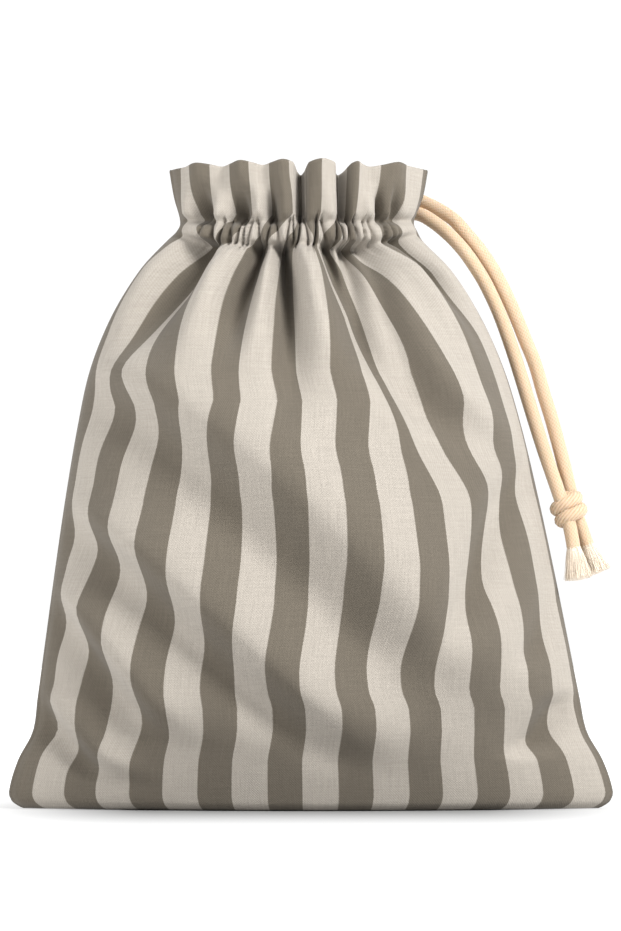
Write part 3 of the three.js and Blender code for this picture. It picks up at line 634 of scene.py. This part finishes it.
# Frayed ends. Each strand leaves the knot as a short stub of cord and opens into a brush of fine yarn
# ends: a close body in the middle, and single yarn ends over and round it.
TAILS = {
    "front": ((106.8, -2.2, 127), (108.5, -2.6, 118.2), (109.5, -2.7, 113), (110.3, -2.8, 108.0)),
    "side": ((110.2, 2.0, 127), (113.2, 3.2, 119.2), (114.9, 3.4, 114.2), (116.6, 3.6, 109.6)),
}
BRUSH = {"front": (13.4, 0.24), "side": (12.6, 0.24)}
STUB_RADIUS, BRUSH_RADIUS = CORD / 2 - 0.05, CORD / 2 - 0.35
FLARE_ROOT, FLARE_SPREAD = 0.6, 0.85
FLARE_GROOVES, FLARE_GROOVE = ((0.25, 11, 0), (0.25, 17, 1)), 0.13
FLARE_ROUND, FLARE_BLUNT, FLARE_TIP = 0.9, 0.9, 1.01
FIBRES, FIBRE_WIDTH, FIBRE_TAPER, FIBRE_ROOT = 320, 0.28, 0.55, 1.5
FIBRE_WAVES = ((0.5, 4.2, 0, 0), (0.35, 5.5, 0.7, -0.22))
INNERMOST, STRAY, OUTSIDE_SHORTER = 0.55, 0.025, 0.04
SPREAD_RANGE, LENGTH_RANGE, WIDTH_RANGE = (0.85, 1.1), (0.93, 1.0), (0.8, 1.4)

# The opened yarn is paler than the twisted cord, because its fibres lie loose.
LOOSE_YARN = (0.82, 0.72, 0.60)
loose = new_material("opened cotton yarn")
tree = loose.node_tree
fibre = node("ShaderNodeGroup", node_tree=fibres)
matt_cotton(toned(LOOSE_YARN, fibre.outputs["Tone"]), roughness=0.9, sheen=0.2)


def make_fibre(name, material, segments=7, sides=4):
    """One yarn end of unit length, thinning and slightly waved, standing on the origin along +Z."""
    turn = np.linspace(0, 2 * np.pi, sides, endpoint=False)
    points, faces = [], []
    for along in np.linspace(0, 1, segments):
        r = 0.5 * (1 - FIBRE_TAPER * along ** 2)
        sway, nod = (
            share * math.sin(often * along + start) + shift for share, often, start, shift in FIBRE_WAVES)
        points += [(sway + r * math.cos(a), nod + r * math.sin(a), along) for a in turn]
    for i in range(segments - 1):
        for j in range(sides):
            k = (j + 1) % sides
            faces.append((i * sides + j, i * sides + k, (i + 1) * sides + k, (i + 1) * sides + j))
    faces += [tuple(range(sides))[::-1], tuple((segments - 1) * sides + j for j in range(sides))]
    mesh = bpy.data.meshes.new(name)
    mesh.from_pydata(points, [], faces)
    mesh.polygons.foreach_set("use_smooth", np.ones(len(mesh.polygons), bool))
    mesh.materials.append(material)
    return bpy.data.objects.new(name, mesh)


# Sets one small piece on each point of a mesh, turned and scaled by the points' own attributes.
scatter = bpy.data.node_groups.new("set on points", "GeometryNodeTree")
scatter.interface.new_socket("Geometry", in_out="INPUT", socket_type="NodeSocketGeometry")
piece_socket = scatter.interface.new_socket("Piece", in_out="INPUT", socket_type="NodeSocketObject")
look_socket = scatter.interface.new_socket("Look", in_out="INPUT", socket_type="NodeSocketMaterial")
scatter.interface.new_socket("Geometry", in_out="OUTPUT", socket_type="NodeSocketGeometry")
tree = scatter
given, made = node("NodeGroupInput"), node("NodeGroupOutput")
info = node("GeometryNodeObjectInfo")
turned = node("GeometryNodeInputNamedAttribute", data_type="FLOAT_VECTOR")
turned.inputs["Name"].default_value = "turn"
scaled = node("GeometryNodeInputNamedAttribute", data_type="FLOAT_VECTOR")
scaled.inputs["Name"].default_value = "stretch"
instances = node("GeometryNodeInstanceOnPoints")
realize = node("GeometryNodeRealizeInstances")
painted = node("GeometryNodeSetMaterial")
tree.links.new(given.outputs["Geometry"], instances.inputs["Points"])
tree.links.new(given.outputs["Piece"], info.inputs["Object"])
tree.links.new(info.outputs["Geometry"], instances.inputs["Instance"])
tree.links.new(turned.outputs[0], instances.inputs["Rotation"])
tree.links.new(scaled.outputs[0], instances.inputs["Scale"])
tree.links.new(instances.outputs[0], realize.inputs[0])
tree.links.new(realize.outputs[0], painted.inputs["Geometry"])
tree.links.new(given.outputs["Look"], painted.inputs["Material"])
tree.links.new(painted.outputs[0], made.inputs[0])


def set_on_points(name, places, turns, stretches, piece, look):
    mesh = bpy.data.meshes.new(name)
    mesh.from_pydata([tuple(p) for p in places], [], [])
    for label, values in (("turn", turns), ("stretch", stretches)):
        data = mesh.attributes.new(label, "FLOAT_VECTOR", "POINT").data
        data.foreach_set("vector", np.asarray(values, np.float32).ravel())
    bed = bpy.data.objects.new(name + "_points", mesh)
    bpy.context.collection.objects.link(bed)
    modifier = bed.modifiers.new("set", "NODES")
    modifier.node_group = scatter
    modifier[piece_socket.identifier] = piece
    modifier[look_socket.identifier] = look
    shown = bed.evaluated_get(bpy.context.evaluated_depsgraph_get())
    result = bpy.data.objects.new(name, bpy.data.meshes.new_from_object(shown))
    bpy.data.objects.remove(bed)
    bpy.context.collection.objects.link(result)
    return result


def make_flare(name, root, ways, length, spread, material, rows=22, sides=72):
    """Body of a brush: a cone of close yarn ends, grooved along its length and round at its end."""
    way, side_way, front_way = ways
    turn = np.linspace(0, 2 * np.pi, sides, endpoint=False)
    around = np.cos(turn)[:, None] * side_way + np.sin(turn)[:, None] * front_way
    groove = 0.5 + sum(share * np.cos(often * turn + start) for share, often, start in FLARE_GROOVES)
    rings = []
    for t in np.linspace(0, 1, rows):
        r = (BRUSH_RADIUS + spread * length * t) * (1 - FLARE_GROOVE * t * groove)
        if t > FLARE_ROUND:
            r = r * math.sqrt(1 - FLARE_BLUNT * ((t - FLARE_ROUND) / (1 - FLARE_ROUND)) ** 2)
        rings.append(root + way * length * t + r[:, None] * around)
    points = np.concatenate([*rings, root[None], (root + way * length * FLARE_TIP)[None]])
    return add_piece(name, points, tube_faces(rows, sides), material)


fibre_piece = make_fibre("yarn_end", loose)
chance = np.random.default_rng(7)
tails = {}
for key, cad_node in (("front", "cord_tail_front"), ("side", "cord_tail_side")):
    stub_path = smooth_path(TAILS[key])
    stub = make_rope(f"{key}_stub", stub_path, yarn, radius=STUB_RADIUS, phase=0.7)
    end = stub_path[-1]
    way = stub_path[-1] - stub_path[-4]
    way /= np.linalg.norm(way)
    side_way = np.cross((0, 1, 0), way)
    side_way /= np.linalg.norm(side_way)
    front_way = np.cross(way, side_way)
    length, spread = BRUSH[key]
    ways = (way, side_way, front_way)
    flare = make_flare(f"{key}_flare", end - FLARE_ROOT * way, ways, length, spread * FLARE_SPREAD, loose)
    places, turns, stretches = [], [], []
    for i in range(FIBRES):
        reach = INNERMOST + (1 - INNERMOST) * math.sqrt((i + 0.5) / FIBRES)
        around = i * math.pi * (3 - math.sqrt(5))
        off = math.cos(around) * side_way + math.sin(around) * front_way
        root = end - FIBRE_ROOT * way + off * BRUSH_RADIUS * reach
        aim = way + off * reach * spread * chance.uniform(*SPREAD_RANGE) + chance.normal(0, STRAY, 3)
        places.append(root * MM)
        turns.append(Vector(aim).to_track_quat("Z", "Y").to_euler())
        reach_out = (length + FIBRE_ROOT) * chance.uniform(*LENGTH_RANGE) * (1 - OUTSIDE_SHORTER * reach)
        width = FIBRE_WIDTH * chance.uniform(*WIDTH_RANGE) * MM
        stretches.append((width, width, reach_out * MM))
    brush = set_on_points(f"{key}_brush", places, turns, stretches, fibre_piece, loose)
    for piece in (stub, flare, brush):
        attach(piece, "root")
    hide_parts(cad_node)
    tails[key] = [stub, flare, brush]
bpy.data.objects.remove(fibre_piece)

# The two strands, set on the root like the other pieces; what hangs on each is listed but not used.
for piece, path, cad_node, on_it in (
    (inner_cord, inner_path, "cord_inner", [knot, *tails["front"]]),
    (outer_cord, outer_path, "cord_outer", tails["side"]),
):
    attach(piece, "root")
    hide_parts(cad_node)


# Studio: a white paper floor that glows evenly, except under and close round the pouch, where the glow is
# taken away as a painted shadow; a white room that is brightest behind it, a soft light from the upper
# right in front and a weaker, wider one from the upper left. Sizes are in metres.
FLOOR_HALF, FLOOR_DROP = 30, 0.0002
SHADOW_HALF, SIDE_FADE, SHADOW_REACH, FLOOR_GLOW = 0.06, 2.6, (0.04, 0.3), (0.0, 1.15)
ROOM_REACH, ROOM_GLOW, SIDE_GLOW, TOP_GLOW = (-0.5, 0.8), (0.06, 1.02), 0.25, 0.3


def map_range(value, reach, result, **settings):
    made = node("ShaderNodeMapRange", **settings)
    for socket, number in zip(("From Min", "From Max", "To Min", "To Max"), (*reach, *result)):
        made.inputs[socket].default_value = number
    tree.links.new(value, made.inputs["Value"])
    return made.outputs[0]


corners = [(x * FLOOR_HALF, y * FLOOR_HALF, 0) for x, y in ((-1, -1), (1, -1), (1, 1), (-1, 1))]
floor_mesh = bpy.data.meshes.new("floor")
floor_mesh.from_pydata(corners, [], [(0, 1, 2, 3)])
floor = bpy.data.objects.new("floor", floor_mesh)
bpy.context.collection.objects.link(floor)
floor.location.z = -FLOOR_DROP
paper = new_material("white paper")
tree = paper.node_tree
surface = node("ShaderNodeBsdfPrincipled")
surface.inputs["Base Color"].default_value = (0.3, 0.3, 0.3, 1)
surface.inputs["Roughness"].default_value = 1.0
surface.inputs["Specular IOR Level"].default_value = 0.0
surface.inputs["Emission Color"].default_value = (1, 1, 1, 1)
coords = node("ShaderNodeTexCoord")
split = node("ShaderNodeSeparateXYZ")
tree.links.new(coords.outputs["Object"], split.inputs[0])
# Painted shadow: the floor's glow fades to nothing towards the pouch, over a longer reach in front than at
# the sides.
to_side = math_node("SUBTRACT", math_node("ABSOLUTE", split.outputs[0]), SHADOW_HALF)
to_side = math_node("MULTIPLY", math_node("MAXIMUM", to_side, 0.0), SIDE_FADE)
to_front = math_node("POWER", split.outputs[1], 2.0)
away = math_node("SQRT", math_node("ADD", math_node("POWER", to_side, 2.0), to_front))
tree.links.new(map_range(away, SHADOW_REACH, FLOOR_GLOW), surface.inputs["Emission Strength"])
output = node("ShaderNodeOutputMaterial")
tree.links.new(surface.outputs[0], output.inputs["Surface"])
floor_mesh.materials.append(paper)

world = bpy.data.worlds.new("studio")
bpy.context.scene.world = world
world.use_nodes = True
tree = world.node_tree
tree.nodes.clear()
sky = node("ShaderNodeTexCoord")
split = node("ShaderNodeSeparateXYZ")
tree.links.new(sky.outputs["Generated"], split.inputs[0])
behind = map_range(split.outputs[1], ROOM_REACH, ROOM_GLOW, interpolation_type="SMOOTHSTEP")
from_sides = math_node("MULTIPLY", math_node("POWER", split.outputs[0], 2.0), SIDE_GLOW)
from_above = math_node("MULTIPLY", math_node("MAXIMUM", split.outputs[2], 0.0), TOP_GLOW)
strength = math_node("ADD", math_node("ADD", behind, from_sides), from_above)
background = node("ShaderNodeBackground")
background.inputs["Color"].default_value = (1, 1, 1, 1)
tree.links.new(strength, background.inputs["Strength"])
output = node("ShaderNodeOutputWorld")
tree.links.new(background.outputs[0], output.inputs["Surface"])


def area_light(name, place, target, size, power):
    data = bpy.data.lights.new(name, "AREA")
    data.shape, data.size, data.energy = "DISK", size, power
    light = bpy.data.objects.new(name, data)
    light.location = place
    light.rotation_euler = (Vector(target) - Vector(place)).to_track_quat("-Z", "Y").to_euler()
    bpy.context.collection.objects.link(light)


area_light("key", place=(1.05, -1.0, 1.1), target=(0, 0, 0.1), size=0.6, power=39.0)
area_light("fill", place=(-1.3, -1.2, 0.7), target=(0, 0, 0.08), size=0.9, power=19.0)

# The camera stands low in front and looks up a little, with the whole pouch and some room round it in view.
CAMERA_PLACE, CAMERA_AIM = Vector((-0.0002, -1.7, 0.062)), Vector((-0.0002, 0, 0.1436))
SENSOR, VIEW_HEIGHT = 36.0, 0.391
camera_data = bpy.data.cameras.new("camera")
camera_data.sensor_fit = "VERTICAL"
camera_data.sensor_height = SENSOR
camera_data.lens = SENSOR * abs(CAMERA_PLACE.y) / VIEW_HEIGHT
camera = bpy.data.objects.new("camera", camera_data)
camera.location = CAMERA_PLACE
camera.rotation_euler = (CAMERA_AIM - CAMERA_PLACE).to_track_quat("-Z", "Y").to_euler()
bpy.context.collection.objects.link(camera)
bpy.context.scene.camera = camera
bpy.context.scene.view_settings.view_transform = "Standard"
